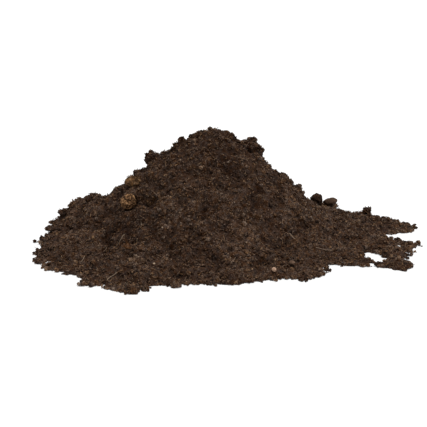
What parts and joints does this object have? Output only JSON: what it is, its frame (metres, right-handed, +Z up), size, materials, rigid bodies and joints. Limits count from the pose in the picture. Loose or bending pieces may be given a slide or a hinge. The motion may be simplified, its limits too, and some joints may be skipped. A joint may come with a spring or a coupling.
{
  "type": "heap of garden soil",
  "caption": "Loose heap of dark, crumbly garden soil poured on a floor, with clods, bark and a pebble in its surface; it lies on a flat base.",
  "frame": {"origin": "middle of the base, on the floor", "axes": "+Z up, +X to the right of the heap as it is seen from the front, -Y towards the viewer"},
  "size_m": [0.4128, 0.4146, 0.1212],
  "materials": {
    "soil": "matte",
    "dark_soil": "matte",
    "peat": "matte",
    "bark": "matte",
    "pebble": "matte"
  },
  "bodies": {
    "root": {"soil_heap": "soil", "summit_clod": "soil", "ridge_clod": "soil", "shoulder_clod": "soil", "rim_clod_left": "soil", "rim_clod_right": "soil", "front_clod": "soil", "angular_clod": "dark_soil", "rim_flake_left": "dark_soil", "peat_tuft": "peat", "bark_nugget": "bark", "oval_bark_chip": "bark", "wood_chip_left": "bark", "wood_chip_right": "bark", "pale_pebble": "pebble"}
  },
  "joints": []
}
